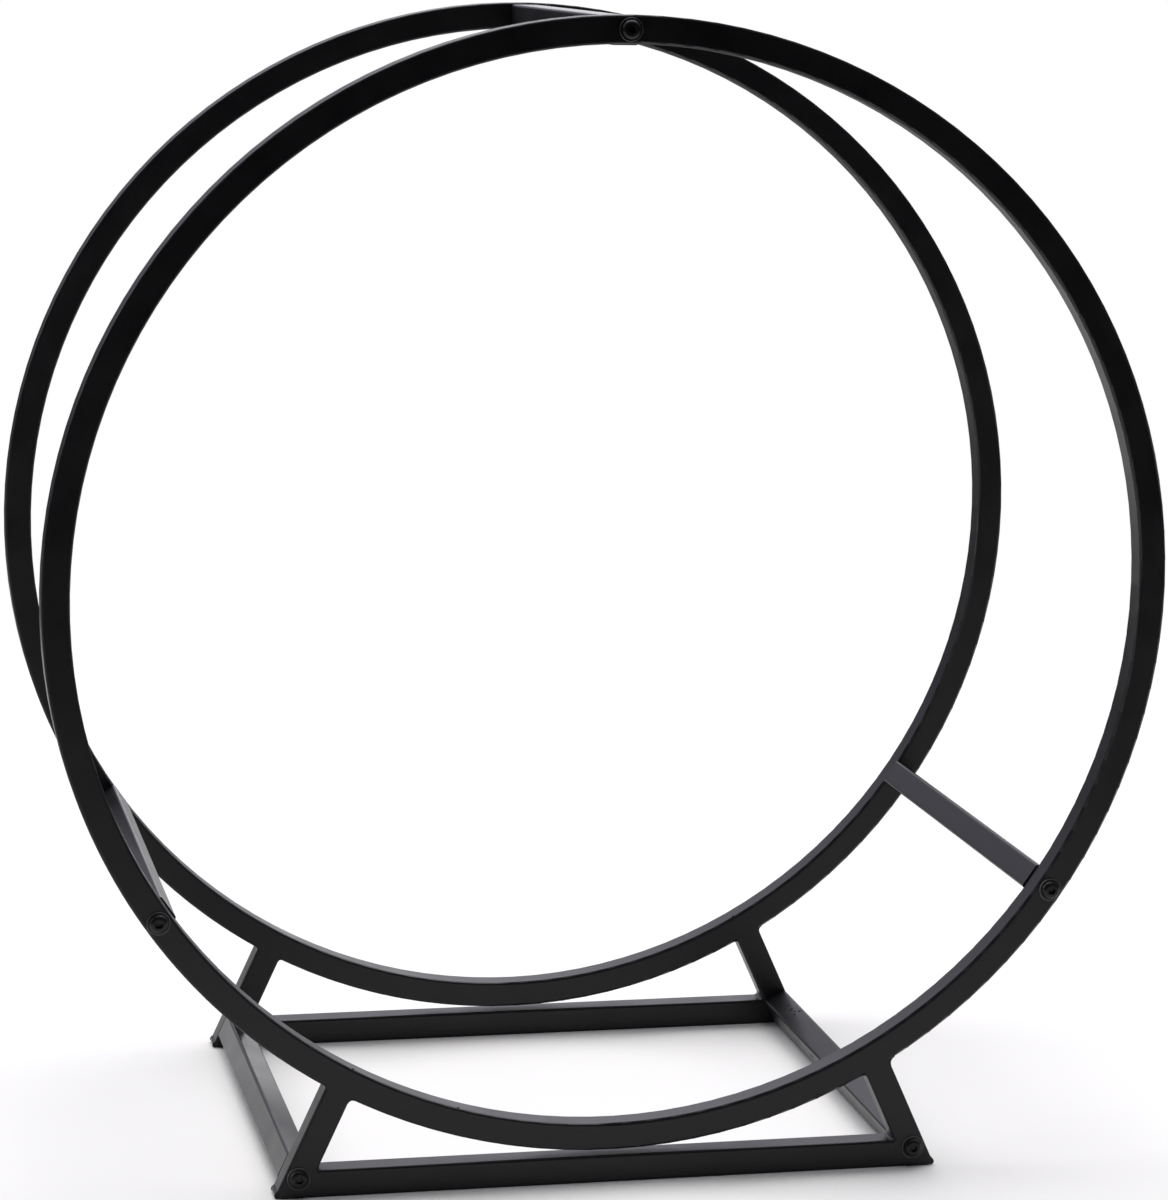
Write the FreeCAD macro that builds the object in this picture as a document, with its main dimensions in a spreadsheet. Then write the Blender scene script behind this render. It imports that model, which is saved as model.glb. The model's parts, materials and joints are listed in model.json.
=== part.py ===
"""Round firewood log rack, knock-down, in black powder-coated square steel tube.

Two identical welded frames stand on the floor, one behind the other. Each frame is a ring of square
tube on two leaning legs with a rail between the feet. Five straight tubes join the frames: one at the
top of the rings, one at each side below their middle, and one between each pair of feet. Each straight
tube is held at both ends by a button-head screw, which goes through the frame into a threaded insert.

Frame: origin on the floor under the middle of the rack, +X to the right, +Y to the back, +Z up.
Sizes are in millimetres and angles in degrees.
"""
import FreeCAD, Part
import math
import os

import Sketcher
from FreeCAD import Placement, Rotation, Vector

DRIVING_SIZES = (
    ("ring_diameter", 610.0),
    ("ring_height", 323.0),
    ("rack_depth", 300.0),
    ("tube_width", 15.0),
    ("tube_wall", 1.2),
    ("tube_rounding", 1.5),
    ("leg_lean", 24.5),
    ("foot_reach", 184.0),
    ("foot_rounding", 3.0),
    ("foot_closing", 5.0),
    ("side_bar_angle", 34.5),
    ("bar_inset", 1.0),
    ("foot_screw_height", 11.0),
    ("screw_diameter", 6.0),
    ("screw_length", 25.0),
    ("screw_hole", 6.6),
    ("thread_diameter", 5.35),
    ("thread_chamfer", 0.8),
    ("flange_diameter", 12.5),
    ("flange_thickness", 0.9),
    ("dome_diameter", 10.2),
    ("dome_flat", 5.4),
    ("head_height", 3.3),
    ("hex_width", 4.0),
    ("hex_depth", 2.1),
    ("insert_length", 12.0),
)

doc = FreeCAD.newDocument("log_rack")
sheet = doc.addObject("Spreadsheet::Sheet", "Sizes")
for row, (alias, value) in enumerate(DRIVING_SIZES, start=1):
    sheet.set(f"A{row}", alias)
    sheet.set(f"B{row}", str(value))
    sheet.setAlias(f"B{row}", alias)
doc.recompute()

# Lengths and angles worked out from the sheet, as expressions that the features are bound to.
HALF_TUBE = "Sizes.tube_width / 2"
CAVITY_WIDTH = "(Sizes.tube_width - 2 * Sizes.tube_wall)"
CAVITY_ROUNDING = "(Sizes.tube_rounding - Sizes.tube_wall)"
RING_MIDDLE_RADIUS = "(Sizes.ring_diameter - Sizes.tube_width) / 2"
LEAN = "(Sizes.leg_lean * 1 deg)"
LEG_ACROSS = f"(Sizes.tube_width / cos({LEAN}))"
LEG_AXIS_FOOT = f"(Sizes.foot_reach - {LEG_ACROSS} / 2)"
BAR_LENGTH = "(Sizes.rack_depth - 2 * Sizes.tube_width)"

ORIGIN_POINT = (-1, 1)
HORIZONTAL_AXIS = -1


def size(alias):
    """A driving size as a number."""
    return float(sheet.get(alias))


def value_of(expression):
    """The number that an expression on the sheet has now."""
    result = sheet.evalExpression(expression)
    return float(getattr(result, "Value", result))


def new_body(label, placement):
    body = doc.addObject("PartDesign::Body", label)
    body.Label = label
    body.Placement = placement
    return body


def new_sketch(body, name, plane_role, lift=None):
    """A sketch on one of the body's own origin planes, lifted along the plane's normal if asked."""
    sketch = body.newObject("Sketcher::SketchObject", f"{body.Name}_{name}")
    plane = next(feature for feature in body.Origin.OriginFeatures if feature.Role == plane_role)
    sketch.AttachmentSupport = (plane, [""])
    sketch.MapMode = "FlatFace"
    if lift:
        sketch.setExpression(".AttachmentOffset.Base.z", lift)
    return sketch


def bind(sketch, constraint, name, expression):
    """Add a dimensional constraint and bind its value to an expression on the sheet."""
    index = sketch.addConstraint(constraint)
    sketch.renameConstraint(index, name)
    sketch.setExpression(f"Constraints.{name}", expression)


def place_point(sketch, geometry, position, name, x_expression, y_expression):
    """Fix a point of the sketch at a place worked out from the sheet."""
    for letter, kind, expression in (("x", "DistanceX", x_expression), ("y", "DistanceY", y_expression)):
        constraint = Sketcher.Constraint(kind, *ORIGIN_POINT, geometry, position, value_of(expression))
        bind(sketch, constraint, f"{name}_{letter}", expression)


def add_rounded_square(sketch, name, width, rounding, centre_x="0 * Sizes.tube_width"):
    """A square with rounded corners, its sides along the sketch's axes."""
    half = value_of(width) / 2
    radius = value_of(rounding)
    middle = value_of(centre_x)
    flat = half - radius
    sides = []
    corners = []
    for quarter in range(4):
        turn = Rotation(Vector(0, 0, 1), 90 * quarter)
        shift = Vector(middle, 0, 0)
        start = turn.multVec(Vector(half, -flat, 0)) + shift
        end = turn.multVec(Vector(half, flat, 0)) + shift
        sides.append(sketch.addGeometry(Part.LineSegment(start, end)))
        corner_centre = turn.multVec(Vector(flat, flat, 0)) + shift
        circle = Part.Circle(corner_centre, Vector(0, 0, 1), radius)
        arc_start = math.radians(90 * quarter)
        arc = Part.ArcOfCircle(circle, arc_start, arc_start + math.radians(90))
        corners.append(sketch.addGeometry(arc))
    for quarter in range(4):
        sketch.addConstraint(Sketcher.Constraint("Tangent", sides[quarter], 2, corners[quarter], 1))
        following = sides[(quarter + 1) % 4]
        sketch.addConstraint(Sketcher.Constraint("Tangent", corners[quarter], 2, following, 1))
        direction = "Horizontal" if quarter % 2 else "Vertical"
        sketch.addConstraint(Sketcher.Constraint(direction, sides[quarter]))
    for quarter in range(1, 4):
        sketch.addConstraint(Sketcher.Constraint("Equal", corners[0], corners[quarter]))
    centre = sketch.addGeometry(Part.Point(Vector(middle, 0, 0)), True)
    sketch.addConstraint(Sketcher.Constraint("PointOnObject", centre, 1, HORIZONTAL_AXIS))
    offset = Sketcher.Constraint("DistanceX", *ORIGIN_POINT, centre, 1, middle)
    bind(sketch, offset, f"{name}_offset", centre_x)
    sketch.addConstraint(Sketcher.Constraint("Symmetric", corners[0], 3, corners[2], 3, centre, 1))
    bind(sketch, Sketcher.Constraint("Radius", corners[0], radius), f"{name}_rounding", rounding)
    across = Sketcher.Constraint("DistanceX", sides[2], 1, sides[0], 2, 2 * half)
    bind(sketch, across, f"{name}_width", width)
    upright = Sketcher.Constraint("DistanceY", sides[3], 1, sides[1], 1, 2 * half)
    bind(sketch, upright, f"{name}_height", width)


def add_polygon(sketch, name, corners):
    """A closed outline through corners, each a pair of expressions."""
    points = [Vector(value_of(x), value_of(y), 0) for x, y in corners]
    lines = []
    for index, point in enumerate(points):
        following = points[(index + 1) % len(points)]
        lines.append(sketch.addGeometry(Part.LineSegment(point, following)))
    for index, line in enumerate(lines):
        following = lines[(index + 1) % len(lines)]
        sketch.addConstraint(Sketcher.Constraint("Coincident", line, 2, following, 1))
        place_point(sketch, line, 1, f"{name}_{index}", *corners[index])


def add_circle(sketch, name, diameter, centre_x, centre_y):
    centre = Vector(value_of(centre_x), value_of(centre_y), 0)
    circle = sketch.addGeometry(Part.Circle(centre, Vector(0, 0, 1), value_of(diameter) / 2))
    place_point(sketch, circle, 3, name, centre_x, centre_y)
    constraint = Sketcher.Constraint("Diameter", circle, value_of(diameter))
    bind(sketch, constraint, f"{name}_diameter", diameter)


def pad(body, sketch, length, midplane=False, reversed_way=False):
    feature = body.newObject("PartDesign::Pad", f"{sketch.Name}_pad")
    feature.Profile = sketch
    feature.setExpression("Length", length)
    feature.Midplane = midplane
    feature.Reversed = reversed_way
    sketch.Visibility = False
    doc.recompute()
    return feature


def cut(body, sketch, length=None, midplane=True, reversed_way=False):
    """Pocket the sketch, right through the body unless a length is given, and check that it cuts."""
    before = body.Shape.Volume
    feature = body.newObject("PartDesign::Pocket", f"{sketch.Name}_cut")
    feature.Profile = sketch
    if length:
        feature.Type = "Length"
        feature.setExpression("Length", length)
    else:
        feature.Type = "ThroughAll"
    feature.Midplane = midplane
    feature.Reversed = reversed_way
    doc.recompute()
    if body.Shape.Volume > before - 1:
        raise RuntimeError(f"{feature.Name} cuts nothing")
    return feature


def tube_profile(body, plane_role, centre_x="0 * Sizes.tube_width"):
    """The hollow square section that every tube of the rack is made of."""
    sketch = new_sketch(body, "section", plane_role)
    add_rounded_square(sketch, "outside", "Sizes.tube_width", "Sizes.tube_rounding", centre_x)
    add_rounded_square(sketch, "cavity", CAVITY_WIDTH, CAVITY_ROUNDING, centre_x)
    return sketch


def ring_point(angle):
    """A point on the ring's middle line, and the inward direction there, for an angle from +X."""
    radius = value_of(RING_MIDDLE_RADIUS)
    outward = Vector(math.cos(math.radians(angle)), 0, math.sin(math.radians(angle)))
    return Vector(0, 0, size("ring_height")) + outward * radius, -outward


def bar_stations():
    """Each bar's name, where its screws go through the frames, its own middle and its turn about Y.

    The places are in the plane midway between the frames. A bar on the rings sits a little further
    in than its screws, so that the logs lie on the bars and not on the rings' edges.
    """
    side = size("side_bar_angle")
    stations = []
    for name, angle in (("top", 90), ("left", 180 + side), ("right", -side)):
        screw_place, inward = ring_point(angle)
        bar_place = screw_place + inward * size("bar_inset")
        stations.append((name, screw_place, bar_place, 90 - angle))
    lean = size("leg_lean")
    height = size("foot_screw_height")
    across = value_of(LEG_AXIS_FOOT) - height * math.tan(math.radians(lean))
    for name, side_sign in (("base_left", -1), ("base_right", 1)):
        place = Vector(side_sign * across, 0, height)
        stations.append((name, place, place, -side_sign * lean))
    return stations


def frame_sides():
    """The front and back frames: name, the way out of the rack along Y, middle of the tube in Y."""
    middle = (size("rack_depth") - size("tube_width")) / 2
    return (("front", -1, -middle), ("back", 1, middle))


def make_ring(label, middle_y):
    """A full circle of square tube, drilled through for the top and side bars' screws."""
    body = new_body(label, Placement(Vector(0, middle_y, size("ring_height")), Rotation()))
    section = tube_profile(body, "XY_Plane", RING_MIDDLE_RADIUS)
    ring = body.newObject("PartDesign::Revolution", f"{label}_revolution")
    ring.Profile = section
    ring.ReferenceAxis = (section, ["V_Axis"])
    ring.Angle = 360
    doc.recompute()
    holes = new_sketch(body, "screw_holes", "XZ_Plane")
    side_angles = (("top", "90 deg"), ("left", "(180 deg + Sizes.side_bar_angle * 1 deg)"),
                   ("right", "(-Sizes.side_bar_angle * 1 deg)"))
    for name, angle in side_angles:
        add_circle(holes, name, "Sizes.screw_hole",
                   f"{RING_MIDDLE_RADIUS} * cos({angle})", f"{RING_MIDDLE_RADIUS} * sin({angle})")
    cut(body, holes)
    return body


def make_leg(label, side_sign, middle_y):
    """A leaning tube from the floor to the outside of the ring, solid at the foot.

    The body's own Z runs up the leg, and its own X points out of the rack, before the body is turned
    to lean and, for a left leg, half a turn about the vertical.
    """
    lean_turn = Rotation(Vector(0, 1, 0), -size("leg_lean"))
    side_turn = Rotation(Vector(0, 0, 1), 0 if side_sign > 0 else 180)
    foot = Vector(side_sign * value_of(LEG_AXIS_FOOT), middle_y, 0)
    body = new_body(label, Placement(foot, side_turn * lean_turn))
    outside = new_sketch(body, "outside", "XY_Plane", f"-{HALF_TUBE}")
    add_rounded_square(outside, "outside", "Sizes.tube_width", "Sizes.tube_rounding")
    pad(body, outside, "Sizes.tube_width * 6")
    cavity = new_sketch(body, "cavity", "XY_Plane", "Sizes.foot_closing")
    add_rounded_square(cavity, "cavity", CAVITY_WIDTH, CAVITY_ROUNDING)
    cut(body, cavity, midplane=False, reversed_way=True)
    cut_foot(body)
    ring_edge = new_sketch(body, "ring_edge", "XZ_Plane")
    add_circle(ring_edge, "ring", "Sizes.ring_diameter",
               f"Sizes.ring_height * sin({LEAN}) - {LEG_AXIS_FOOT} * cos({LEAN})",
               f"Sizes.ring_height * cos({LEAN}) + {LEG_AXIS_FOOT} * sin({LEAN})")
    cut(body, ring_edge)
    hole = new_sketch(body, "screw_hole", "XZ_Plane")
    add_circle(hole, "screw", "Sizes.screw_hole", "0 * Sizes.screw_hole",
               f"Sizes.foot_screw_height / cos({LEAN})")
    cut(body, hole)
    return body


def cut_foot(body):
    """Cut the leg level with the floor and round its outer tip.

    What is cut away is bounded by the floor's line, an arc round the tip, and straight lines well
    outside the leg.
    """
    centre_x = f"({HALF_TUBE} - Sizes.foot_rounding)"
    centre_y = f"((Sizes.foot_rounding - {centre_x} * sin({LEAN})) / cos({LEAN}))"
    inner_end = ("-Sizes.tube_width", f"Sizes.tube_width * tan({LEAN})")
    around = (
        ("Sizes.tube_width", centre_y),
        ("Sizes.tube_width", "-2 * Sizes.tube_width"),
        ("-Sizes.tube_width", "-2 * Sizes.tube_width"),
    )
    radius = size("foot_rounding")
    lean = math.radians(size("leg_lean"))
    centre = Vector(value_of(centre_x), value_of(centre_y), 0)
    floor_touch = centre - Vector(math.sin(lean), math.cos(lean), 0) * radius
    floor_start = Vector(value_of(inner_end[0]), value_of(inner_end[1]), 0)

    sketch = new_sketch(body, "foot", "XZ_Plane")
    floor_line = sketch.addGeometry(Part.LineSegment(floor_start, floor_touch))
    place_point(sketch, floor_line, 1, "inner_end", *inner_end)
    circle = Part.Circle(centre, Vector(0, 0, 1), radius)
    tip = sketch.addGeometry(Part.ArcOfCircle(circle, -math.pi / 2 - lean, 0))
    sketch.addConstraint(Sketcher.Constraint("Tangent", floor_line, 2, tip, 1))
    place_point(sketch, tip, 3, "tip_centre", centre_x, centre_y)
    bind(sketch, Sketcher.Constraint("Radius", tip, radius), "tip_rounding", "Sizes.foot_rounding")
    sketch.addConstraint(Sketcher.Constraint("Horizontal", tip, 3, tip, 2))
    previous = tip
    start = centre + Vector(radius, 0, 0)
    for index, (x_expression, y_expression) in enumerate(around):
        end = Vector(value_of(x_expression), value_of(y_expression), 0)
        line = sketch.addGeometry(Part.LineSegment(start, end))
        sketch.addConstraint(Sketcher.Constraint("Coincident", previous, 2, line, 1))
        place_point(sketch, line, 2, f"around_{index}", x_expression, y_expression)
        previous = line
        start = end
    closing = sketch.addGeometry(Part.LineSegment(start, floor_start))
    sketch.addConstraint(Sketcher.Constraint("Coincident", previous, 2, closing, 1))
    sketch.addConstraint(Sketcher.Constraint("Coincident", closing, 2, floor_line, 1))
    return cut(body, sketch)


def make_base_rail(label, middle_y):
    """The tube between two feet, flat on the floor, its ends cut to lie against the legs."""
    body = new_body(label, Placement(Vector(0, middle_y, value_of(HALF_TUBE)), Rotation()))
    section = tube_profile(body, "YZ_Plane")
    pad(body, section, "2 * Sizes.foot_reach", midplane=True)
    end = new_sketch(body, "end", "XZ_Plane")
    inner_foot = f"(Sizes.foot_reach - {LEG_ACROSS})"
    add_polygon(end, "cut", (
        (f"{inner_foot} + {HALF_TUBE} * tan({LEAN})", "-Sizes.tube_width"),
        ("Sizes.foot_reach + Sizes.tube_width", "-Sizes.tube_width"),
        ("Sizes.foot_reach + Sizes.tube_width", "Sizes.tube_width"),
        (f"{inner_foot} - 3 * {HALF_TUBE} * tan({LEAN})", "Sizes.tube_width"),
    ))
    right_end = cut(body, end)
    other_end = body.newObject("PartDesign::Mirrored", f"{label}_other_end")
    other_end.Originals = [right_end]
    plane = next(feature for feature in body.Origin.OriginFeatures if feature.Role == "YZ_Plane")
    other_end.MirrorPlane = (plane, [""])
    body.Tip = other_end
    doc.recompute()
    return body


def make_bar(label, middle, turn):
    """A straight tube from frame to frame."""
    body = new_body(label, Placement(middle, Rotation(Vector(0, 1, 0), turn)))
    section = tube_profile(body, "XZ_Plane")
    pad(body, section, BAR_LENGTH, midplane=True)
    return body


def outward_turn(out_sign):
    """The turn that points a body's own Z out of the rack, to the front or to the back."""
    return Rotation(Vector(1, 0, 0), 90 if out_sign < 0 else -90)


def make_insert(label, end, turn, out_sign, screw_offset):
    """A square plug welded flush in a bar's end, with a threaded bore for the screw.

    screw_offset is how far the bore is from the plug's middle, along the bar section's own outward
    axis. The thread is a plain bore of the thread's pitch diameter.
    """
    placement = Placement(end, Rotation(Vector(0, 1, 0), turn) * outward_turn(out_sign))
    body = new_body(label, placement)
    outside = new_sketch(body, "outside", "XY_Plane")
    add_rounded_square(outside, "outside", CAVITY_WIDTH, CAVITY_ROUNDING)
    pad(body, outside, "Sizes.insert_length", reversed_way=True)
    bore = new_sketch(body, "bore", "XY_Plane")
    add_circle(bore, "thread", "Sizes.thread_diameter", "0 * Sizes.bar_inset", screw_offset)
    cut(body, bore)
    return body


def make_screw(label, seat, out_sign):
    """A flanged button-head screw with a hexagon socket, its own Z along the axis and out of the head.

    The shank has the screw's full diameter through the frame's tube, and the pitch diameter of its
    thread beyond it.
    """
    body = new_body(label, Placement(seat, outward_turn(out_sign)))
    profile = new_sketch(body, "profile", "XZ_Plane")
    zero = "0 * Sizes.head_height"
    shank = "Sizes.screw_diameter / 2"
    thread = "Sizes.thread_diameter / 2"
    outline = (
        (zero, "Sizes.head_height"),
        ("Sizes.dome_flat / 2", "Sizes.head_height"),
        ("Sizes.dome_diameter / 2", "Sizes.flange_thickness"),
        ("Sizes.flange_diameter / 2", "Sizes.flange_thickness"),
        ("Sizes.flange_diameter / 2", zero),
        (shank, zero),
        (shank, "-Sizes.tube_width"),
        (thread, "-Sizes.tube_width"),
        (thread, "Sizes.thread_chamfer - Sizes.screw_length"),
        (f"{thread} - Sizes.thread_chamfer", "-Sizes.screw_length"),
        (zero, "-Sizes.screw_length"),
    )
    add_polygon(profile, "outline", outline)
    turned = body.newObject("PartDesign::Revolution", f"{label}_revolution")
    turned.Profile = profile
    turned.ReferenceAxis = (profile, ["V_Axis"])
    turned.Angle = 360
    doc.recompute()
    socket = new_sketch(body, "socket", "XY_Plane", "Sizes.head_height")
    across_corners = "(Sizes.hex_width / cos(30 deg) / 2)"
    corners = tuple((f"{across_corners} * cos({60 * k} deg)", f"{across_corners} * sin({60 * k} deg)")
                    for k in range(6))
    add_polygon(socket, "hexagon", corners)
    cut(body, socket, "Sizes.hex_depth", midplane=False)
    return body


def make_rack():
    pieces = []
    for frame_name, _, middle_y in frame_sides():
        pieces.append(make_ring(f"{frame_name}_ring", middle_y))
        pieces.append(make_base_rail(f"{frame_name}_base_rail", middle_y))
        for side_name, side_sign in (("left", -1), ("right", 1)):
            pieces.append(make_leg(f"{frame_name}_{side_name}_leg", side_sign, middle_y))
    bar_end = value_of(BAR_LENGTH) / 2
    frame_face = size("rack_depth") / 2
    for name, screw_place, bar_place, turn in bar_stations():
        pieces.append(make_bar(f"{name}_bar", bar_place, turn))
        for frame_name, out_sign, _ in frame_sides():
            end = bar_place + Vector(0, out_sign * bar_end, 0)
            inset = (screw_place - bar_place).Length > 0
            offset = f"{-out_sign} * Sizes.bar_inset" if inset else "0 * Sizes.bar_inset"
            pieces.append(make_insert(f"{name}_bar_{frame_name}_insert", end, turn, out_sign, offset))
            seat = screw_place + Vector(0, out_sign * frame_face, 0)
            pieces.append(make_screw(f"{name}_bar_{frame_name}_screw", seat, out_sign))
    return pieces


def check_document():
    for thing in doc.Objects:
        if "Invalid" in thing.State or "Error" in thing.State:
            raise RuntimeError(f"{thing.Name} failed: {thing.State}")


def write_pieces(pieces):
    os.makedirs("parts", exist_ok=True)
    for piece in pieces:
        shape = piece.Shape
        if shape.isNull() or not shape.isValid() or len(shape.Solids) != 1:
            raise RuntimeError(f"{piece.Label} is not one valid solid")
        shape.exportStep(os.path.join("parts", f"{piece.Label}.step"))
        print(f"{piece.Label:32s} volume {shape.Volume:10.1f} mm3")


rack = make_rack()
doc.recompute()
check_document()
write_pieces(rack)
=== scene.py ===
import json
import math
import random

import bmesh
import bpy
from mathutils import Matrix, Vector


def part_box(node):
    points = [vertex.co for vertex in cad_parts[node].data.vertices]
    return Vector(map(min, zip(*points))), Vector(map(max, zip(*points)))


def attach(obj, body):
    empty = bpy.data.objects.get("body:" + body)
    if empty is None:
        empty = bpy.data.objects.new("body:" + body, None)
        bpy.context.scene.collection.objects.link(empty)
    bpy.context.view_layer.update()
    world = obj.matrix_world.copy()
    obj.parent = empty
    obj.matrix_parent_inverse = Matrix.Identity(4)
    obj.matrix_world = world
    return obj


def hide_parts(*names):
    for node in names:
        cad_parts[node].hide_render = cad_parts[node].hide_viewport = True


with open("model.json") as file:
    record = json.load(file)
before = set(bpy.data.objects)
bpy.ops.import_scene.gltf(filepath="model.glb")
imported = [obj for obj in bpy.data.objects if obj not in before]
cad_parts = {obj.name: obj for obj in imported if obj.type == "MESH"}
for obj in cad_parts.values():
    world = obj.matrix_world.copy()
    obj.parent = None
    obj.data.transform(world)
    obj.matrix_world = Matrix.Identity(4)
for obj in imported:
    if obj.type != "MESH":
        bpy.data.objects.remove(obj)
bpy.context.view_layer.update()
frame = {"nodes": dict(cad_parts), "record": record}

MM = 0.001

# ---------------------------------------------------------------- sizes

RING_LOW, RING_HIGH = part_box("front_ring")
RAIL_LOW, RAIL_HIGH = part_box("front_base_rail")
TUBE = RAIL_HIGH.z - RAIL_LOW.z
HALF_TUBE = TUBE / 2
RING_RADIUS = (RING_HIGH.x - RING_LOW.x) / 2
RING_HEIGHT = RING_HIGH.z - RING_RADIUS
FRAME_MIDDLE = {side: sum(corner.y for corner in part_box(f"{side}_ring")) / 2 for side in ("front", "back")}

# The CAD model's own driving sizes, which no box shows.
TUBE_ROUNDING = 1.5 * MM
FLANGE_RADIUS = 6.25 * MM
LEAN = math.radians(24.5)          # the legs lean in from the vertical, going up
FOOT_REACH = 184 * MM              # where a leg's outer side would meet the floor
LEG_AXIS_FOOT = FOOT_REACH - HALF_TUBE / math.cos(LEAN)


# ---------------------------------------------------------------- materials

SATIN_IOR = 1.36                   # lower than a gloss lacquer, for faces as dark as in the photo
IOR_LOST_TO_GLOSS = 0.1
RIM_HIGHLIGHT_WIDTH = 0.45 * MM         # how wide the painted highlight on a screw's flange rim is
RIM_HIGHLIGHT_FADE = 0.2 * MM


def new_material(name):
    material = bpy.data.materials.new(name)
    material.use_nodes = True
    tree = material.node_tree
    shader = tree.nodes["Principled BSDF"]
    return material, tree, shader


def noise(tree, coordinates, scale, detail=2.0, roughness=0.5):
    """A noise texture whose grains are about 1/scale of a metre across."""
    node = tree.nodes.new("ShaderNodeTexNoise")
    node.inputs["Scale"].default_value = scale
    node.inputs["Detail"].default_value = detail
    node.inputs["Roughness"].default_value = roughness
    tree.links.new(coordinates, node.inputs["Vector"])
    return node.outputs["Fac"]


def spread(tree, value, low, high, from_low=0.3, from_high=0.7):
    """value, taken from its own range to low..high."""
    node = tree.nodes.new("ShaderNodeMapRange")
    node.inputs["From Min"].default_value = from_low
    node.inputs["From Max"].default_value = from_high
    node.inputs["To Min"].default_value = low
    node.inputs["To Max"].default_value = high
    tree.links.new(value, node.inputs["Value"])
    return node.outputs["Result"]


def colour_between(tree, value, dark, light):
    ramp = tree.nodes.new("ShaderNodeValToRGB")
    ramp.color_ramp.elements[0].position = 0.3
    ramp.color_ramp.elements[0].color = (*dark, 1)
    ramp.color_ramp.elements[1].position = 0.7
    ramp.color_ramp.elements[1].color = (*light, 1)
    tree.links.new(value, ramp.inputs["Fac"])
    return ramp.outputs["Color"]


def bump(tree, height, strength, distance, normal=None):
    node = tree.nodes.new("ShaderNodeBump")
    node.inputs["Strength"].default_value = strength
    node.inputs["Distance"].default_value = distance
    tree.links.new(height, node.inputs["Height"])
    if normal is not None:
        tree.links.new(normal, node.inputs["Normal"])
    return node.outputs["Normal"]


def powder_coat(name, dark, light, roughness, gloss=0.0):
    """Satin-matt black powder coat: cloudy colour, orange peel and slight waves in the tube.

    gloss is the weight of a smoother skin over it, and the coat below then reflects a little less.
    """
    material, tree, shader = new_material(name)
    place = tree.nodes.new("ShaderNodeTexCoord").outputs["Object"]
    clouds = noise(tree, place, scale=35, detail=3)
    waves = noise(tree, place, scale=60, detail=1)
    peel = noise(tree, place, scale=1400, detail=2)
    grain = noise(tree, place, scale=5000, detail=1)
    tree.links.new(colour_between(tree, clouds, dark, light), shader.inputs["Base Color"])
    rough = spread(tree, clouds, low=roughness - 0.04, high=roughness + 0.05)
    tree.links.new(rough, shader.inputs["Roughness"])
    normal = bump(tree, waves, strength=0.05, distance=0.6 * MM)
    normal = bump(tree, peel, strength=0.18, distance=0.06 * MM, normal=normal)
    normal = bump(tree, grain, strength=0.10, distance=0.02 * MM, normal=normal)
    tree.links.new(normal, shader.inputs["Normal"])
    shader.inputs["IOR"].default_value = SATIN_IOR - IOR_LOST_TO_GLOSS * gloss
    shader.inputs["Coat Weight"].default_value = gloss
    shader.inputs["Coat Roughness"].default_value = 0.16
    shader.inputs["Coat IOR"].default_value = 1.25
    return material


def blackened_steel(name, rim_radius):
    """Black oxide on a screw, with a painted highlight on the rim of its flange: a pale grey band that
    stands in for the light its rounded edge catches.

    The screw's own Z is its axis, so the distance from that axis finds the rim.
    """
    material, tree, shader = new_material(name)
    place = tree.nodes.new("ShaderNodeTexCoord").outputs["Object"]
    clouds = noise(tree, place, scale=300, detail=3)
    grain = noise(tree, place, scale=4000, detail=2)
    across = tree.nodes.new("ShaderNodeVectorMath")
    across.operation = "MULTIPLY"
    across.inputs[1].default_value = (1, 1, 0)
    tree.links.new(place, across.inputs[0])
    distance = tree.nodes.new("ShaderNodeVectorMath")
    distance.operation = "LENGTH"
    tree.links.new(across.outputs["Vector"], distance.inputs[0])
    # The pale grey band at the flange's rim is a painted highlight, standing in for the light its edge
    # catches.
    highlight_start = rim_radius - RIM_HIGHLIGHT_WIDTH
    rim = spread(tree, distance.outputs["Value"], low=0, high=1,
                 from_low=highlight_start, from_high=highlight_start + RIM_HIGHLIGHT_FADE)
    oxide = colour_between(tree, clouds, dark=(0.004, 0.004, 0.005), light=(0.009, 0.008, 0.009))
    painted_highlight_mix = tree.nodes.new("ShaderNodeMix")
    painted_highlight_mix.data_type = "RGBA"
    colours = [socket for socket in painted_highlight_mix.inputs if socket.type == "RGBA"]
    tree.links.new(rim, painted_highlight_mix.inputs["Factor"])
    tree.links.new(oxide, colours[0])
    # the painted highlight's pale grey
    colours[1].default_value = (0.10, 0.098, 0.095, 1)
    painted_highlight_colour = next(socket for socket in painted_highlight_mix.outputs if socket.type == "RGBA")
    tree.links.new(painted_highlight_colour, shader.inputs["Base Color"])
    tree.links.new(spread(tree, clouds, low=0.30, high=0.42), shader.inputs["Roughness"])
    tree.links.new(bump(tree, grain, strength=0.2, distance=0.03 * MM), shader.inputs["Normal"])
    shader.inputs["IOR"].default_value = SATIN_IOR
    return material


def plated_steel(name):
    """Zinc-plated steel, drawn along its length."""
    material, tree, shader = new_material(name)
    place = tree.nodes.new("ShaderNodeTexCoord").outputs["Object"]
    stretch = tree.nodes.new("ShaderNodeMapping")
    stretch.inputs["Scale"].default_value = (1, 0.05, 1)
    tree.links.new(place, stretch.inputs["Vector"])
    drawn = noise(tree, stretch.outputs["Vector"], scale=2500, detail=3)
    colour = colour_between(tree, drawn, dark=(0.40, 0.40, 0.41), light=(0.56, 0.56, 0.57))
    tree.links.new(colour, shader.inputs["Base Color"])
    tree.links.new(spread(tree, drawn, low=0.28, high=0.45), shader.inputs["Roughness"])
    tree.links.new(bump(tree, drawn, strength=0.2, distance=0.03 * MM), shader.inputs["Normal"])
    shader.inputs["Metallic"].default_value = 1.0
    return material


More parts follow.
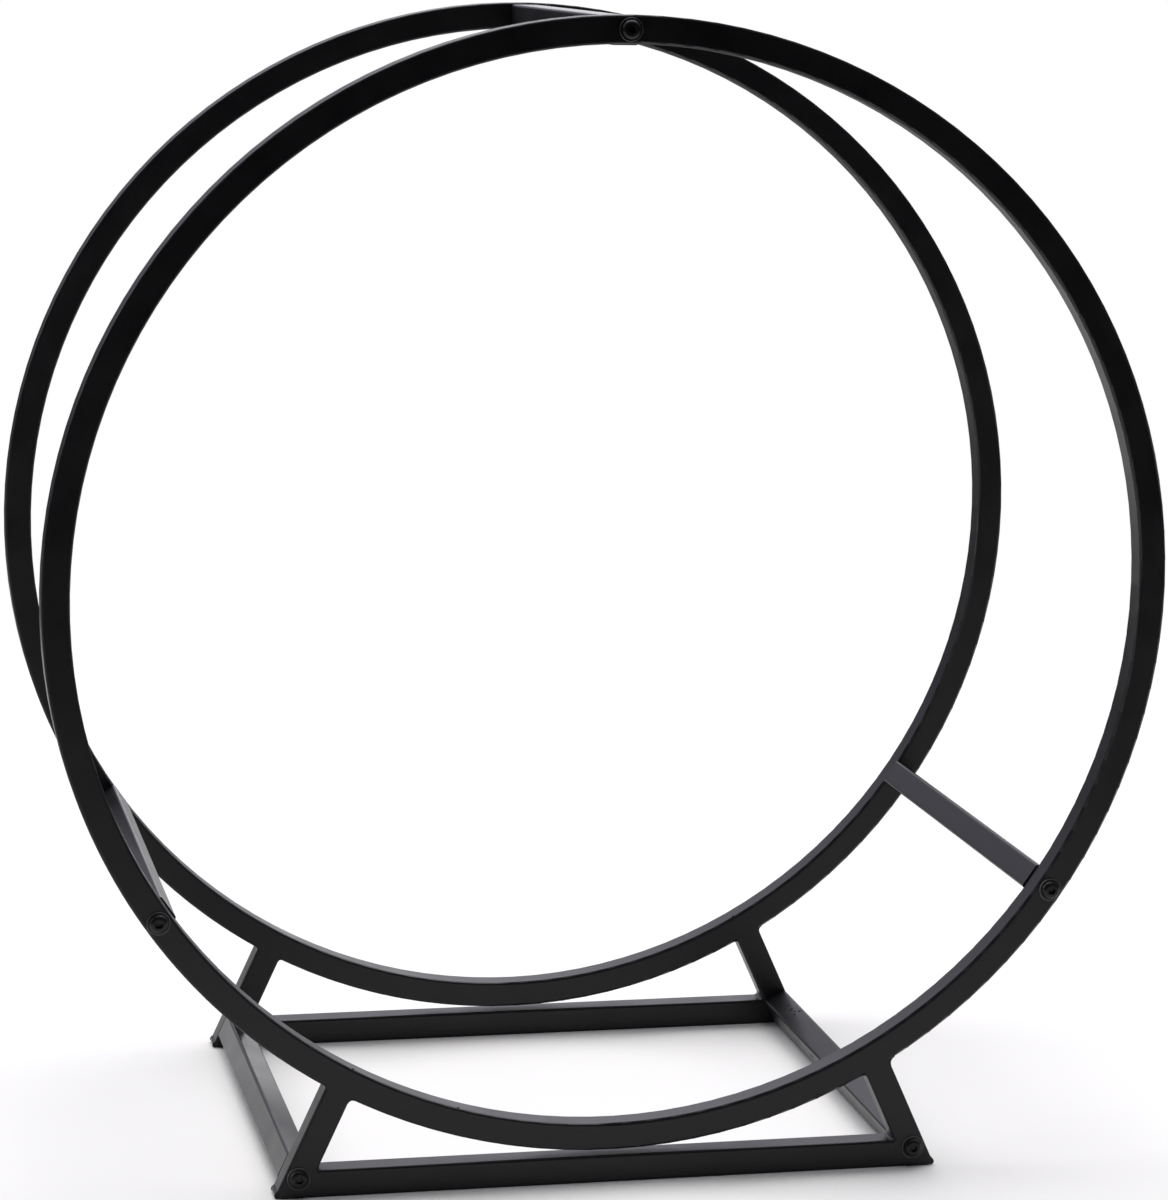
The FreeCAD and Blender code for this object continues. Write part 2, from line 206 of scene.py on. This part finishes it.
def floor_paper(name):
    material, tree, shader = new_material(name)
    place = tree.nodes.new("ShaderNodeTexCoord").outputs["Object"]
    mottle = noise(tree, place, scale=3, detail=4)
    colour = colour_between(tree, mottle, dark=(0.85, 0.84, 0.80), light=(0.87, 0.86, 0.82))
    tree.links.new(colour, shader.inputs["Base Color"])
    shader.inputs["Roughness"].default_value = 0.9
    shader.inputs["Specular IOR Level"].default_value = 0.2
    return material


FRAME_COAT = powder_coat("frame_powder_coat", dark=(0.0086, 0.0074, 0.0088),
                         light=(0.0122, 0.0106, 0.0122), roughness=0.37)
BAR_COAT = powder_coat("bar_powder_coat", dark=(0.0066, 0.0058, 0.0070),
                       light=(0.0104, 0.0092, 0.0108), roughness=0.38, gloss=0.3)
SCREW_BLACK = blackened_steel("screw_black_oxide", FLANGE_RADIUS)
# The spatter beads are real bumps, but their coat is painted darker than the frame's: painted shade on the
# small beads.
SPATTER_SHADED_BLACK = powder_coat("spatter_coat_painted_shade", dark=(0.0020, 0.0020, 0.0022),
                            light=(0.0045, 0.0042, 0.0046), roughness=0.75)
INSERT_STEEL = plated_steel("insert_zinc_plate")
MATERIAL_OF_SLOT = {
    "frame_coat": FRAME_COAT,
    "bar_coat": BAR_COAT,
    "screw_steel": SCREW_BLACK,
    "insert_steel": INSERT_STEEL,
}


def dress_nodes():
    """Every node of the frame keeps its shape and gets its own material."""
    for part in frame["record"]["subparts"]:
        node = frame["nodes"][part["node"]]
        for material_slot in node.material_slots:
            material_slot.material = MATERIAL_OF_SLOT[part["material_slot"]]


# ---------------------------------------------------------------- pieces

CRISP_ANGLE = math.radians(35)


def piece_from(mesh_builder, name, material, place=Matrix()):
    """An object from a finished bmesh, riding on the rack, smooth but for its sharp edges."""
    bmesh.ops.recalc_face_normals(mesh_builder, faces=mesh_builder.faces)
    for face in mesh_builder.faces:
        face.smooth = True
    for edge in mesh_builder.edges:
        edge.smooth = edge.calc_face_angle(0) < CRISP_ANGLE
    mesh = bpy.data.meshes.new(name)
    mesh_builder.to_mesh(mesh)
    mesh_builder.free()
    mesh.materials.append(material)
    piece = bpy.data.objects.new(name, mesh)
    piece.matrix_world = place
    bpy.context.scene.collection.objects.link(piece)
    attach(piece, "root")
    return piece


def add_skin(mesh_builder, rings):
    """Add the faces between each ring of vertices and the next. All rings have the same count."""
    for ring, following in zip(rings, rings[1:]):
        for index in range(len(ring)):
            after = (index + 1) % len(ring)
            mesh_builder.faces.new((ring[index], ring[after], following[after], following[index]))


def loft(mesh_builder, sections):
    """Add a closed skin through sections of points, capped at both ends."""
    rings = [[mesh_builder.verts.new(point) for point in section] for section in sections]
    add_skin(mesh_builder, rings)
    mesh_builder.faces.new(rings[0][::-1])
    mesh_builder.faces.new(rings[-1])


# ---------------------------------------------------------------- welds

ARC_STEPS = 10
WELD_STEPS = 28
SINK = 0.5 * MM            # how far a weld reaches into the metal it joins
PROUD = 0.03 * MM          # how far a weld that was ground flush still stands out
BEAD_END = 0.6 * MM        # how far a bead stops short of the tube's faces
BEAD_SAG = 0.38            # how far a corner bead's face is pulled in towards its corner
END_THINNING = 0.28        # how much of its size a weld lacks at its very ends
END_SHARE = 0.05           # the share of its run in which it fills out
RIPPLE_SIZE = 0.035
RIPPLES = 6
DRIFT_SIZE = 0.05

# Radii of the welds' faces at the ring, (outer side, inner side) of each leg, judged from the photo.
RING_WELD_RADII = {
    ("front", "left"): (1.8 * MM, 3.2 * MM),
    ("front", "right"): (4.8 * MM, 2.4 * MM),
    ("back", "left"): (2.0 * MM, 2.0 * MM),
    ("back", "right"): (3.4 * MM, 1.8 * MM),
}
CORNER_WELD_RADIUS = 2.6 * MM
FOOT_WELD_RADIUS = 2.2 * MM
FOOT_WELD_PROUD = 0.7 * MM
FOOT_WELD_END = 0.8 * MM
FLOOR_GAP = 0.05 * MM
SIDE_SIGN = {"left": -1, "right": 1}


def weld_bulge(fraction, seed):
    """How full a weld is along its run: even, with small ripples, and drawn in at both ends.

    seed only moves the ripples and the drift along, so that no two welds are alike.
    """
    to_end = min(fraction, 1 - fraction)
    taper = 1 - END_THINNING * math.exp(-to_end / END_SHARE)
    ripple = RIPPLE_SIZE * math.sin(2 * math.pi * (RIPPLES * fraction + seed))
    drift = DRIFT_SIZE * math.sin(2 * math.pi * (0.9 * fraction + 0.37 * seed))
    return taper * (1 + ripple + drift)


def leg_frame(side_sign):
    """The leg's outward normal and upward axis in the rack's X and Z, and the axis's foot."""
    outward = Vector((side_sign * math.cos(LEAN), 0, math.sin(LEAN)))
    upward = Vector((-side_sign * math.sin(LEAN), 0, math.cos(LEAN)))
    foot = Vector((side_sign * LEG_AXIS_FOOT, 0, 0))
    return outward, upward, foot


def ring_fillet_section(side_sign, face_sign, radius):
    """The weld between a leg's side and the outside of the ring, as points in the frame's plane.

    face_sign is 1 for the leg's outer side and -1 for its inner side. The weld's face is an arc that
    touches both the leg and the ring.
    """
    outward, upward, foot = leg_frame(side_sign)
    normal = outward * face_sign
    ring_centre = Vector((0, 0, RING_HEIGHT)) - foot
    centre_out = ring_centre.dot(normal)
    centre_up = ring_centre.dot(upward)
    arc_out = HALF_TUBE + radius
    arc_up = centre_up - math.sqrt((RING_RADIUS + radius) ** 2 - (arc_out - centre_out) ** 2)
    to_ring = math.atan2(centre_up - arc_up, centre_out - arc_out)
    points = []
    for step in range(ARC_STEPS + 1):
        angle = math.pi + (to_ring - math.pi) * step / ARC_STEPS
        points.append((arc_out + radius * math.cos(angle), arc_up + radius * math.sin(angle)))
    corner_up = centre_up - math.sqrt(RING_RADIUS ** 2 - (HALF_TUBE - centre_out) ** 2)
    last_out, last_up = points[-1]
    points.append((last_out, last_up + SINK))
    points.append((HALF_TUBE - SINK, corner_up + SINK))
    points.append((HALF_TUBE - SINK, points[0][1]))
    return [foot + normal * out + upward * up for out, up in points]


def add_ring_fillet(mesh_builder, middle, side_sign, face_sign, radius, seed):
    """A fillet across the tube's width where a leg's side meets the ring."""
    run = TUBE - 2 * BEAD_END
    sections = []
    for step in range(WELD_STEPS + 1):
        fraction = step / WELD_STEPS
        y = middle + run * (fraction - 0.5)
        section = ring_fillet_section(side_sign, face_sign, radius * weld_bulge(fraction, seed))
        sections.append([Vector((point.x, y, point.z)) for point in section])
    loft(mesh_builder, sections)


def add_flush_seam(mesh_builder, path, into_tube, middle):
    """Fill the grooves that a tube's rounded edges leave along a joint, on both faces of the frame.

    path runs along the joint in the frame's plane, and into_tube gives, for each of its points, the
    way from the joint across the rounded tube.
    """
    for face_sign in (-1, 1):
        face_y = middle + face_sign * (HALF_TUBE + PROUD)
        deep_y = middle + face_sign * (HALF_TUBE - TUBE_ROUNDING - SINK)
        sections = []
        for place, inward in zip(path, into_tube):
            near = place - inward * SINK
            far = place + inward * (TUBE_ROUNDING + SINK)
            deep = place + inward * SINK
            outline = ((near, face_y), (far, face_y), (deep, deep_y), (near, deep_y))
            sections.append([Vector((point.x, y, point.z)) for point, y in outline])
        loft(mesh_builder, sections)


def add_ring_seam(mesh_builder, side_sign, middle):
    """The ground weld on the frame's faces along the end of a leg, where the ring's edge is rounded."""
    outward, upward, foot = leg_frame(side_sign)
    centre = Vector((0, 0, RING_HEIGHT))
    angles = []
    for face_sign in (-1, 1):
        side = foot + outward * HALF_TUBE * face_sign - centre
        climb = side.dot(upward)
        reach = -climb - math.sqrt(climb ** 2 - side.length_squared + RING_RADIUS ** 2)
        corner = side + upward * reach
        angles.append(math.atan2(corner.z, corner.x))
    path = []
    into_tube = []
    for step in range(WELD_STEPS + 1):
        angle = angles[0] + (angles[1] - angles[0]) * step / WELD_STEPS
        away = Vector((math.cos(angle), 0, math.sin(angle)))
        path.append(centre + away * RING_RADIUS)
        into_tube.append(-away)
    add_flush_seam(mesh_builder, path, into_tube, middle)


def add_rail_seam(mesh_builder, side_sign, middle):
    """The ground weld on the frame's faces along the end of a rail, where the leg's edge is rounded."""
    outward, upward, foot = leg_frame(side_sign)
    inner_side = foot - outward * HALF_TUBE
    low = inner_side + upward * ((SINK - inner_side.z) / upward.z)
    high = inner_side + upward * ((TUBE - PROUD - inner_side.z) / upward.z)
    path = [low.lerp(high, step / ARC_STEPS) for step in range(ARC_STEPS + 1)]
    add_flush_seam(mesh_builder, path, [outward] * len(path), middle)


def add_corner_bead(mesh_builder, middle, side_sign, radius, seed):
    """The small weld in the corner between the rail's top and the leg's inner side."""
    outward, upward, foot = leg_frame(side_sign)
    inner_side = foot - outward * HALF_TUBE
    corner = inner_side + upward * ((TUBE - inner_side.z) / upward.z)
    along_rail = Vector((-side_sign, 0, 0))
    run = TUBE - 2 * BEAD_END
    sections = []
    for step in range(WELD_STEPS + 1):
        fraction = step / WELD_STEPS
        y = middle + run * (fraction - 0.5)
        bead_size = radius * weld_bulge(fraction, seed)
        low = corner + along_rail * bead_size
        high = corner + upward * bead_size
        points = []
        for arc_step in range(ARC_STEPS + 1):
            share = arc_step / ARC_STEPS
            chord = low.lerp(high, share)
            points.append(chord + (corner - chord) * BEAD_SAG * math.sin(math.pi * share))
        points.append(high + outward * SINK)
        points.append(corner + outward * SINK - Vector((0, 0, SINK)))
        points.append(low - Vector((0, 0, SINK)))
        sections.append([Vector((point.x, y, point.z)) for point in points])
    loft(mesh_builder, sections)


def add_foot_weld(mesh_builder, middle, side_sign, seed):
    """The dressed weld that closes a foot's outer tip, standing a little proud of the leg."""
    outward, upward, foot = leg_frame(side_sign)
    run = TUBE - 2 * FOOT_WELD_END
    sections = []
    for step in range(WELD_STEPS + 1):
        fraction = step / WELD_STEPS
        y = middle + run * (fraction - 0.5)
        radius = FOOT_WELD_RADIUS * weld_bulge(fraction, seed)
        tip = foot + outward * (HALF_TUBE - radius + FOOT_WELD_PROUD)
        tip += upward * ((radius + FLOOR_GAP - tip.z) / upward.z)
        section = []
        for turn in range(2 * ARC_STEPS):
            angle = math.pi * turn / ARC_STEPS
            point = tip + (outward * math.cos(angle) + upward * math.sin(angle)) * radius
            section.append(Vector((point.x, y, point.z)))
        sections.append(section)
    loft(mesh_builder, sections)


def make_welds():
    """One piece at each joint of the two frames: leg to ring, leg to rail, and the tip of the foot."""
    seed = 0.0
    for (frame_name, side), (outer_radius, inner_radius) in RING_WELD_RADII.items():
        sign = SIDE_SIGN[side]
        middle = FRAME_MIDDLE[frame_name]
        stem = f"{frame_name}_{side}"
        at_ring = bmesh.new()
        add_ring_fillet(at_ring, middle, sign, 1, outer_radius, seed)
        add_ring_fillet(at_ring, middle, sign, -1, inner_radius, seed + 0.31)
        add_ring_seam(at_ring, sign, middle)
        piece_from(at_ring, f"{stem}_ring_weld", FRAME_COAT)
        at_rail = bmesh.new()
        add_corner_bead(at_rail, middle, sign, CORNER_WELD_RADIUS, seed + 0.57)
        add_rail_seam(at_rail, sign, middle)
        piece_from(at_rail, f"{stem}_rail_weld", FRAME_COAT)
        at_foot = bmesh.new()
        add_foot_weld(at_foot, middle, sign, seed + 0.83)
        piece_from(at_foot, f"{stem}_foot_weld", FRAME_COAT)
        seed += 0.23


# ---------------------------------------------------------------- spatter

GRAIN_FLATNESS = 0.55
BAR_GRAINS = 8
BAR_GRAINS_FROM_BACK = (20 * MM, 52 * MM)
BAR_GRAINS_ACROSS = (-2.5 * MM, 5.5 * MM)
BAR_GRAIN_RADII = (0.45 * MM, 0.9 * MM)
SIDE_GRAIN_RADIUS = 0.6 * MM
SIDE_GRAIN_BEHIND_MIDDLE = 28 * MM
SIDE_GRAIN_ABOVE_MIDDLE = 3 * MM
RING_GRAIN_RADII = (0.6 * MM, 0.9 * MM)
RING_GRAIN_FROM_FACE = 1.8 * MM
RING_GRAIN_DEGREES = {"front": (-119.2, -106.9), "back": (-61.1,)}     # 0 is right, and 90 is up


def add_grain(mesh_builder, place, normal, radius, chance):
    """A small flattened bead of weld spatter under the coat, half sunk in the surface."""
    lean_to = normal.to_track_quat("Z", "Y").to_matrix().to_4x4()
    stretch = Matrix.Diagonal((1, chance.uniform(0.7, 1.3), GRAIN_FLATNESS, 1))
    matrix = Matrix.Translation(place) @ lean_to @ stretch
    made = bmesh.ops.create_icosphere(mesh_builder, subdivisions=3, radius=radius, matrix=matrix)
    for vertex in made["verts"]:
        vertex.co += (vertex.co - place) * chance.uniform(-0.05, 0.05)


def make_spatter():
    """Beads of spatter by the joints: on the right base bar near its back end, and on the rings."""
    chance = random.Random(11)
    outward, upward, _ = leg_frame(SIDE_SIGN["right"])
    low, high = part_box("base_right_bar")
    bar_middle = (low + high) / 2
    on_bar = bmesh.new()
    for _ in range(BAR_GRAINS):
        along = Vector((0, high.y - chance.uniform(*BAR_GRAINS_FROM_BACK), 0))
        across = outward * chance.uniform(*BAR_GRAINS_ACROSS)
        place = bar_middle + along + across + upward * HALF_TUBE
        add_grain(on_bar, place, upward, chance.uniform(*BAR_GRAIN_RADII), chance)
    side_place = bar_middle - outward * HALF_TUBE + upward * SIDE_GRAIN_ABOVE_MIDDLE
    side_place += Vector((0, SIDE_GRAIN_BEHIND_MIDDLE, 0))
    add_grain(on_bar, side_place, -outward, SIDE_GRAIN_RADIUS, chance)
    piece_from(on_bar, "base_right_bar_spatter", SPATTER_SHADED_BLACK)
    for frame_name, degrees in RING_GRAIN_DEGREES.items():
        grain_y = FRAME_MIDDLE[frame_name] - HALF_TUBE + RING_GRAIN_FROM_FACE
        on_ring = bmesh.new()
        for angle in (math.radians(value) for value in degrees):
            away = Vector((math.cos(angle), 0, math.sin(angle)))
            place = away * (RING_RADIUS - TUBE) + Vector((0, grain_y, RING_HEIGHT))
            add_grain(on_ring, place, -away, chance.uniform(*RING_GRAIN_RADII), chance)
        piece_from(on_ring, f"{frame_name}_ring_spatter", SPATTER_SHADED_BLACK)


# ---------------------------------------------------------------- screws

HEAD_HEIGHT = 3.3 * MM
FLANGE_THICKNESS = 0.9 * MM
FLANGE_EDGE = 0.3 * MM
DOME_RADIUS = 5.1 * MM
SOCKET_FLAT_RADIUS = 2.7 * MM
SOCKET_HALF_WIDTH = 2.0 * MM
SOCKET_DEPTH = 2.1 * MM
SOCKET_CHAMFER = 0.15 * MM
DRILL_POINT = 0.3 * MM
SHANK_RADIUS = 3.0 * MM
THREAD_PITCH = 1.0 * MM
THREAD_ROOT = 2.45 * MM
THREAD_CREST = SHANK_RADIUS - 0.05 * MM
TIP_RADIUS = THREAD_ROOT - 0.3 * MM
THREAD_START = 15 * MM
SCREW_LENGTH = 25 * MM
AROUND = 96
EDGE_STEPS = 4
DOME_STEPS = 12


def quarter_turn(steps):
    """The angles from 0 to a right angle."""
    return [math.pi / 2 * step / steps for step in range(steps + 1)]


def head_profile():
    """The head from the flange's underside to the socket's rim, as (radius, height) pairs."""
    profile = []
    edge_middle = FLANGE_RADIUS - FLANGE_EDGE
    for angle in quarter_turn(EDGE_STEPS):
        profile.append((edge_middle + FLANGE_EDGE * math.sin(angle),
                        FLANGE_EDGE - FLANGE_EDGE * math.cos(angle)))
    for angle in quarter_turn(EDGE_STEPS):
        profile.append((edge_middle + FLANGE_EDGE * math.cos(angle),
                        FLANGE_THICKNESS - FLANGE_EDGE + FLANGE_EDGE * math.sin(angle)))
    for angle in quarter_turn(DOME_STEPS):
        profile.append((SOCKET_FLAT_RADIUS + (DOME_RADIUS - SOCKET_FLAT_RADIUS) * math.cos(angle),
                        FLANGE_THICKNESS + (HEAD_HEIGHT - FLANGE_THICKNESS) * math.sin(angle)))
    return profile


def thread_profile():
    """The shank from under the head to its tip, with the thread as rings of its pitch."""
    profile = [(SHANK_RADIUS, 0.0), (SHANK_RADIUS, -THREAD_START)]
    turns = round((SCREW_LENGTH - THREAD_START - THREAD_PITCH) / THREAD_PITCH)
    for turn in range(turns):
        top = -THREAD_START - turn * THREAD_PITCH
        profile.append((THREAD_ROOT, top - THREAD_PITCH / 2))
        profile.append((THREAD_CREST, top - THREAD_PITCH))
    profile.append((TIP_RADIUS, -SCREW_LENGTH))
    return profile


def hexagon_radius(angle, own_turn):
    """How far the side of a turned hexagon is from its middle, at an angle."""
    sixth = math.pi / 3
    return SOCKET_HALF_WIDTH / math.cos((angle - own_turn + sixth / 2) % sixth - sixth / 2)


def screw_builder(own_turn):
    """A flanged button head with a turned hexagon socket, its axis +Z and its seat at the origin."""
    mesh_builder = bmesh.new()
    angles = [2 * math.pi * step / AROUND for step in range(AROUND)]

    def ring_of(radii, height):
        return [mesh_builder.verts.new((radius * math.cos(angle), radius * math.sin(angle), height))
                for radius, angle in zip(radii, angles)]

    outline = thread_profile()[::-1] + head_profile()
    rings = [ring_of([radius] * AROUND, height) for radius, height in outline]
    socket = [hexagon_radius(angle, own_turn) for angle in angles]
    rings.append(ring_of([radius + SOCKET_CHAMFER for radius in socket], HEAD_HEIGHT))
    rings.append(ring_of(socket, HEAD_HEIGHT - SOCKET_CHAMFER))
    rings.append(ring_of(socket, HEAD_HEIGHT - SOCKET_DEPTH))
    add_skin(mesh_builder, rings)
    mesh_builder.faces.new(rings[0][::-1])
    drill_point = mesh_builder.verts.new((0, 0, HEAD_HEIGHT - SOCKET_DEPTH - DRILL_POINT))
    for index in range(AROUND):
        mesh_builder.faces.new((rings[-1][index], rings[-1][(index + 1) % AROUND], drill_point))
    return mesh_builder


def make_screws():
    """A finer screw in the place of each of the frame's, its hexagon turned as it came to rest."""
    turns = random.Random(7)
    for node in sorted(frame["nodes"]):
        if not node.endswith("_screw"):
            continue
        low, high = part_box(node)
        out_sign = 1 if low.y + high.y > 0 else -1
        seat_y = (high.y if out_sign > 0 else low.y) - out_sign * HEAD_HEIGHT
        seat = Vector(((low.x + high.x) / 2, seat_y, (low.z + high.z) / 2))
        facing = Matrix.Rotation(-out_sign * math.pi / 2, 4, "X")
        screw = screw_builder(turns.uniform(0, math.pi / 3))
        piece = piece_from(screw, f"{node}_fine", SCREW_BLACK,
                           Matrix.Translation(seat) @ facing)
        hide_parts(node)


# ---------------------------------------------------------------- studio

FLOOR_FRONT = -0.9
FLOOR_BACK = 1.4
FLOOR_SIDE = 2.5

CAMERA_PLACE = (-0.4431, -2.1005, 0.6713)
CAMERA_YAW = math.radians(12.24)            # to the right of straight back
CAMERA_PITCH = math.radians(9.93)           # down from level
CAMERA_ROLL = math.radians(0.94)
CAMERA_LENS = 115.0
CAMERA_SENSOR = 36.0


def make_floor():
    """A plain pale floor, lit so that it runs into the white behind it."""
    mesh = bpy.data.meshes.new("floor")
    corners = ((-FLOOR_SIDE, FLOOR_FRONT, 0), (FLOOR_SIDE, FLOOR_FRONT, 0),
               (FLOOR_SIDE, FLOOR_BACK, 0), (-FLOOR_SIDE, FLOOR_BACK, 0))
    mesh.from_pydata(corners, [], [(0, 1, 2, 3)])
    mesh.materials.append(floor_paper("floor_paper"))
    floor = bpy.data.objects.new("floor", mesh)
    bpy.context.scene.collection.objects.link(floor)


def make_world():
    """A dark room with a bright sky high behind the rack, so that the black coat shows its edges.

    The lens sees plain white; every other ray sees the room.
    """
    world = bpy.data.worlds.new("studio")
    bpy.context.scene.world = world
    world.use_nodes = True
    tree = world.node_tree
    background = tree.nodes["Background"]
    direction = tree.nodes.new("ShaderNodeTexCoord").outputs["Generated"]
    parts = tree.nodes.new("ShaderNodeSeparateXYZ")
    tree.links.new(direction, parts.inputs["Vector"])
    behind = spread(tree, parts.outputs["Y"], low=0.06, high=1.0, from_low=-0.5, from_high=0.5)
    above = spread(tree, parts.outputs["Z"], low=0.05, high=0.95, from_low=0.05, from_high=0.42)
    room = tree.nodes.new("ShaderNodeMath")
    room.operation = "MULTIPLY"
    tree.links.new(behind, room.inputs[0])
    tree.links.new(above, room.inputs[1])
    to_lens = tree.nodes.new("ShaderNodeLightPath").outputs["Is Camera Ray"]
    strength = tree.nodes.new("ShaderNodeMix")
    tree.links.new(to_lens, strength.inputs["Factor"])
    tree.links.new(room.outputs["Value"], strength.inputs["A"])
    strength.inputs["B"].default_value = 1.0
    tree.links.new(strength.outputs["Result"], background.inputs["Strength"])
    tint = tree.nodes.new("ShaderNodeMix")
    tint.data_type = "RGBA"
    colours = [socket for socket in tint.inputs if socket.type == "RGBA"]
    colours[0].default_value = (0.96, 0.95, 1.12, 1)
    colours[1].default_value = (1, 1, 1, 1)
    tree.links.new(to_lens, tint.inputs["Factor"])
    tinted = next(socket for socket in tint.outputs if socket.type == "RGBA")
    tree.links.new(tinted, background.inputs["Color"])


def make_sun(name, strength, width, azimuth, elevation):
    """A soft distant light, its angles in degrees. Azimuth 0 is behind the rack, and 90 is on its right."""
    light = bpy.data.lights.new(name, "SUN")
    light.energy = strength
    light.angle = math.radians(width)
    lamp = bpy.data.objects.new(name, light)
    around = math.radians(azimuth)
    up = math.radians(elevation)
    towards = Vector((math.sin(around) * math.cos(up), math.cos(around) * math.cos(up), math.sin(up)))
    lamp.rotation_euler = towards.to_track_quat("Z", "Y").to_euler()
    bpy.context.scene.collection.objects.link(lamp)


def make_camera():
    """A long lens in front of the rack and to its left, looking a little down."""
    camera_data = bpy.data.cameras.new("camera")
    camera_data.sensor_width = CAMERA_SENSOR
    camera_data.lens = CAMERA_LENS
    camera = bpy.data.objects.new("camera", camera_data)
    turn = (Matrix.Rotation(-CAMERA_YAW, 4, "Z") @ Matrix.Rotation(math.pi / 2 - CAMERA_PITCH, 4, "X")
            @ Matrix.Rotation(CAMERA_ROLL, 4, "Z"))
    camera.matrix_world = Matrix.Translation(CAMERA_PLACE) @ turn
    bpy.context.scene.collection.objects.link(camera)
    bpy.context.scene.camera = camera


dress_nodes()
make_welds()
make_spatter()
make_screws()
make_floor()
make_world()
make_sun("overhead", strength=2.5, width=70, azimuth=10, elevation=65)
make_sun("left_side", strength=0.6, width=35, azimuth=-70, elevation=25)
make_sun("back_card", strength=0.10, width=15, azimuth=13, elevation=4)
make_camera()
bpy.context.scene.view_settings.view_transform = "Standard"
